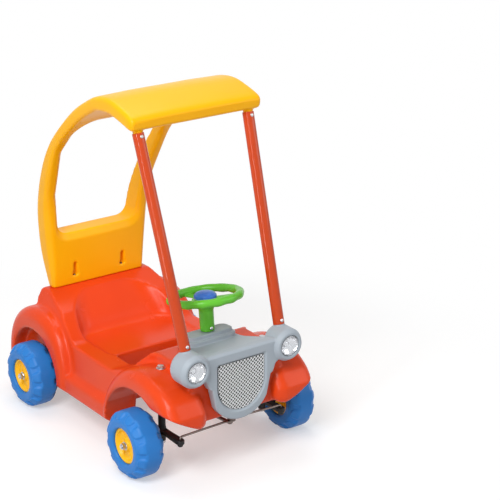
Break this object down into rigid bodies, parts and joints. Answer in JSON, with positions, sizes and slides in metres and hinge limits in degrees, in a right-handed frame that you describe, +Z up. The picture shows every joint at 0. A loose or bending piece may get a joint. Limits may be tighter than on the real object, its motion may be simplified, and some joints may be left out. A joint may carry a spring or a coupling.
{
  "type": "toddler ride-on car with canopy",
  "caption": "Foot-to-floor toddler ride-on car with a moulded body, bucket seat, tall rear canopy on two front posts, steered front wheels and a pressable horn.",
  "frame": {"origin": "on the floor under the centre of the bounding box, midway between left and right", "axes": "+Z up; the car faces -Y; +X is the driver's left"},
  "size_m": [0.5724, 0.8496, 0.9525],
  "materials": {
    "orange_plastic": "semi-gloss blow moulded",
    "yellow_plastic": "semi-gloss blow moulded",
    "blue_plastic": "satin blow moulded",
    "grey_plastic": "satin moulded",
    "green_plastic": "gloss moulded",
    "black_plastic": "satin moulded",
    "orange_paint": "gloss paint on steel tube",
    "steel": "zinc plated",
    "chrome": "vacuum metallised plastic",
    "clear_plastic": "clear",
    "grille_print": "pale mesh panel"
  },
  "bodies": {
    "car_body": {"body_shell": "orange_plastic", "canopy": "yellow_plastic", "front_fascia": "grey_plastic", "grille_mesh": "grille_print", "rear_axle": "steel", "column_bush_lower": "black_plastic", "column_bush_upper": "black_plastic", "front_post_right": "orange_paint", "headlight_reflector_right": "chrome", "headlight_lens_right": "clear_plastic", "canopy_screw_right": "steel", "post_foot_screw_right": "steel", "post_head_screw_right": "steel", "rear_bush_right": "black_plastic", "rear_wheel_nut_right": "steel", "rear_wheel_washer_right": "steel", "kingpin_right": "steel", "kingpin_washer_right": "steel", "kingpin_nut_right": "steel", "front_post_left": "orange_paint", "headlight_reflector_left": "chrome", "headlight_lens_left": "clear_plastic", "canopy_screw_left": "steel", "post_foot_screw_left": "steel", "post_head_screw_left": "steel", "rear_bush_left": "black_plastic", "rear_wheel_nut_left": "steel", "rear_wheel_washer_left": "steel", "kingpin_left": "steel", "kingpin_washer_left": "steel", "kingpin_nut_left": "steel"},
    "steering": {"steering_column": "steel", "steering_wheel": "green_plastic", "steering_screw": "steel"},
    "horn": {"horn_button": "blue_plastic"},
    "knuckle_right": {"knuckle_right": "black_plastic", "stub_axle_right": "steel", "front_wheel_nut_right": "steel", "front_wheel_washer_right": "steel"},
    "tie_rod_right": {"tie_rod_right": "steel", "tie_rod_cap_right": "black_plastic"},
    "wheel_front_right": {"tyre_front_right": "blue_plastic", "hub_front_right": "yellow_plastic"},
    "wheel_rear_right": {"tyre_rear_right": "blue_plastic", "hub_rear_right": "yellow_plastic"},
    "knuckle_left": {"knuckle_left": "black_plastic", "stub_axle_left": "steel", "front_wheel_nut_left": "steel", "front_wheel_washer_left": "steel"},
    "tie_rod_left": {"tie_rod_left": "steel", "tie_rod_cap_left": "black_plastic"},
    "wheel_front_left": {"tyre_front_left": "blue_plastic", "hub_front_left": "yellow_plastic"},
    "wheel_rear_left": {"tyre_rear_left": "blue_plastic", "hub_rear_left": "yellow_plastic"}
  },
  "joints": [
    {"name": "steering_turn", "type": "hinge", "parent": "car_body", "child": "steering", "pos_m": [0, -0.277, 0.1], "axis": [0, 0.0919, 0.9958], "range_deg": [-22, 22]},
    {"name": "horn_press", "type": "slide", "parent": "steering", "child": "horn", "axis": [0, -0.0919, -0.9958], "range_m": [0, 0.003], "stiffness_N_per_m": 600, "springref_m": -0.001},
    {"name": "knuckle_right_steer", "type": "hinge", "parent": "car_body", "child": "knuckle_right", "pos_m": [-0.16, -0.277, 0.09], "axis": [0, 0, 1], "range_deg": [-22, 22]},
    {"name": "tie_rod_right_pivot", "type": "hinge", "parent": "knuckle_right", "child": "tie_rod_right", "pos_m": [-0.16, -0.361, 0.108], "axis": [0, 0, 1], "range_deg": [-22, 22]},
    {"name": "wheel_front_right_spin", "type": "hinge", "parent": "knuckle_right", "child": "wheel_front_right", "pos_m": [-0.2422, -0.277, 0.09], "axis": [1, 0, 0], "continuous": true},
    {"name": "wheel_rear_right_spin", "type": "hinge", "parent": "car_body", "child": "wheel_rear_right", "pos_m": [-0.2422, 0.255, 0.09], "axis": [1, 0, 0], "continuous": true},
    {"name": "knuckle_left_steer", "type": "hinge", "parent": "car_body", "child": "knuckle_left", "pos_m": [0.16, -0.277, 0.09], "axis": [0, 0, 1], "range_deg": [-22, 22]},
    {"name": "tie_rod_left_pivot", "type": "hinge", "parent": "knuckle_left", "child": "tie_rod_left", "pos_m": [0.16, -0.361, 0.108], "axis": [0, 0, 1], "range_deg": [-22, 22]},
    {"name": "wheel_front_left_spin", "type": "hinge", "parent": "knuckle_left", "child": "wheel_front_left", "pos_m": [0.2422, -0.277, 0.09], "axis": [1, 0, 0], "continuous": true},
    {"name": "wheel_rear_left_spin", "type": "hinge", "parent": "car_body", "child": "wheel_rear_left", "pos_m": [0.2422, 0.255, 0.09], "axis": [1, 0, 0], "continuous": true}
  ],
  "couplings": [
    {"joint": "knuckle_right_steer", "follows": "steering_turn", "ratio": 1},
    {"joint": "tie_rod_right_pivot", "follows": "steering_turn", "ratio": -1},
    {"joint": "knuckle_left_steer", "follows": "steering_turn", "ratio": 1},
    {"joint": "tie_rod_left_pivot", "follows": "steering_turn", "ratio": -1}
  ]
}
